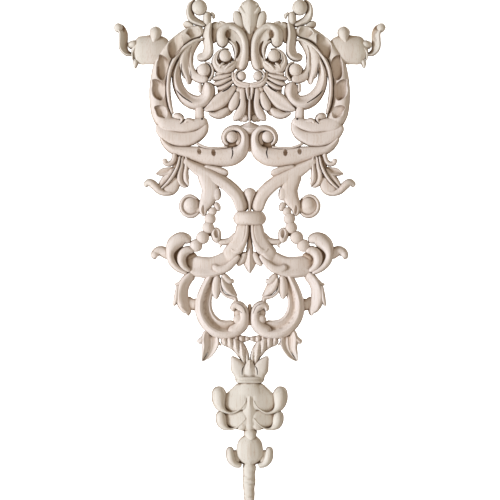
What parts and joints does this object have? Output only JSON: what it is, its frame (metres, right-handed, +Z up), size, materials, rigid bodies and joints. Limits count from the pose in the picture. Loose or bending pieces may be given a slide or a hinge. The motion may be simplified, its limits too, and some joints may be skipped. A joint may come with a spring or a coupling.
{
  "type": "carved wood applique",
  "caption": "Openwork carved wood applique of mirrored leaf scrolls, tapering to a bell drop and stem, flat behind for fixing to a panel.",
  "frame": {"origin": "on the flat back, behind the collar that binds the two halves of the design, on the middle plane", "axes": "+Z up the drop to the crest, +Y out of the flat back towards the panel it is fixed to, so the carved face looks along -Y; +X to the right seen from the front"},
  "size_m": [0.271, 0.0181, 0.5003],
  "materials": {
    "wood": "raw, sanded, pale"
  },
  "bodies": {
    "root": {"applique": "wood"}
  },
  "joints": []
}
